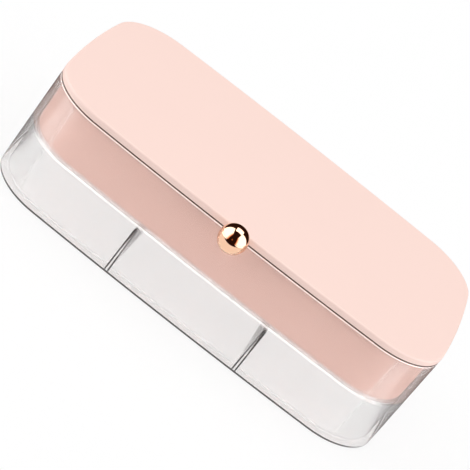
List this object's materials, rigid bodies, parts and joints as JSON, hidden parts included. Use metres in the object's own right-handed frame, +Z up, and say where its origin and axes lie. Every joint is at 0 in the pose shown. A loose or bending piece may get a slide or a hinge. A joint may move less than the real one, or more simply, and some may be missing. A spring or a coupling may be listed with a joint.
{
  "type": "jewellery box",
  "caption": "Clear bowed jewellery box with a coloured lift-out tray, a flip lid with a ball knob and a divided lower level.",
  "frame": {"origin": "centre of the case's flat underside", "axes": "+X along the case, +Y to the hinged rear (the knob is towards -Y), +Z up"},
  "size_m": [0.184, 0.1297, 0.0536],
  "materials": {
    "clear_plastic": "clear polished moulding",
    "blush_plastic": "pale blush satin moulding",
    "rose_metal": "polished rose gold plating",
    "pin_steel": "plain steel wire"
  },
  "bodies": {
    "case": {"clear_case": "clear_plastic", "tray_shelf": "clear_plastic"},
    "tray": {"upper_tray": "blush_plastic", "hinge_pin_left": "pin_steel", "hinge_pin_right": "pin_steel"},
    "lid": {"lid": "blush_plastic", "knob_ball": "rose_metal", "knob_stud": "pin_steel"}
  },
  "joints": [
    {"name": "tray_lift", "type": "slide", "parent": "case", "child": "tray", "axis": [0, 0, 1], "range_m": [0, 0.05]},
    {"name": "lid_hinge", "type": "hinge", "parent": "tray", "child": "lid", "pos_m": [0, 0.0585, 0.0444], "axis": [-1, 0, 0], "range_deg": [0, 100]}
  ]
}
